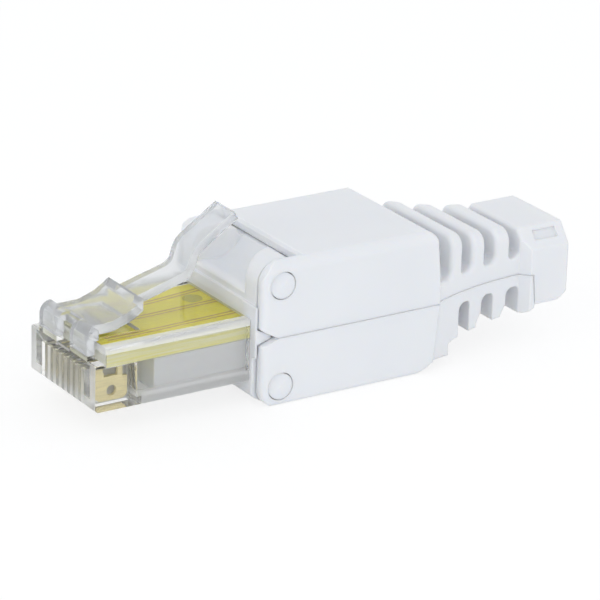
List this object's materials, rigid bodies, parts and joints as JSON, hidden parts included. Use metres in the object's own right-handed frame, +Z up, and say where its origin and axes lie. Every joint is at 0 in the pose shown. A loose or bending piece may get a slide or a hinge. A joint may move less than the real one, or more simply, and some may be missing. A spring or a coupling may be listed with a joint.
{
  "type": "network connector",
  "caption": "Field-fitted network plug: clear latching nose on a circuit board, white body with two hinged lids over the wire terminals and a ribbed cable boot.",
  "frame": {"origin": "centre of the bounding box's underside, on the surface that the lower lid stands on", "axes": "+Y from the plug nose towards the cable end, +Z up through the latch, +X across the plug"},
  "size_m": [0.0148, 0.0516, 0.0172],
  "materials": {
    "clear_plastic": "clear polycarbonate, polished",
    "board_laminate": "yellow solder mask over copper tracks",
    "contact_gold": "gold plated",
    "white_plastic": "satin moulded plastic",
    "block_plastic": "matt moulded plastic",
    "terminal_tin": "tin plated"
  },
  "bodies": {
    "root": {"carrier_frame": "white_plastic", "plug_shell": "clear_plastic", "circuit_board": "board_laminate", "contact_1": "contact_gold", "contact_2": "contact_gold", "contact_3": "contact_gold", "contact_4": "contact_gold", "contact_5": "contact_gold", "contact_6": "contact_gold", "contact_7": "contact_gold", "contact_8": "contact_gold", "upper_terminal_block": "block_plastic", "lower_terminal_block": "block_plastic", "idc_terminal_1": "terminal_tin", "idc_terminal_2": "terminal_tin", "idc_terminal_3": "terminal_tin", "idc_terminal_4": "terminal_tin", "idc_terminal_5": "terminal_tin", "idc_terminal_6": "terminal_tin", "idc_terminal_7": "terminal_tin", "idc_terminal_8": "terminal_tin"},
    "latch": {"latch_lever": "clear_plastic"},
    "upper_lid": {"upper_lid": "white_plastic"},
    "lower_lid": {"lower_lid": "white_plastic"}
  },
  "joints": [
    {"name": "latch_press", "type": "hinge", "parent": "root", "child": "latch", "pos_m": [0, -0.02535, 0.00725], "axis": [-1, 0, 0], "range_deg": [0, 9], "stiffness_Nm_per_rad": 0.3},
    {"name": "upper_lid_swing", "type": "hinge", "parent": "root", "child": "upper_lid", "pos_m": [0, -0.00748, 0.01162], "axis": [1, 0, 0], "range_deg": [0, 60]},
    {"name": "lower_lid_swing", "type": "hinge", "parent": "root", "child": "lower_lid", "pos_m": [0, -0.00748, 0.00186], "axis": [-1, 0, 0], "range_deg": [0, 90]}
  ]
}
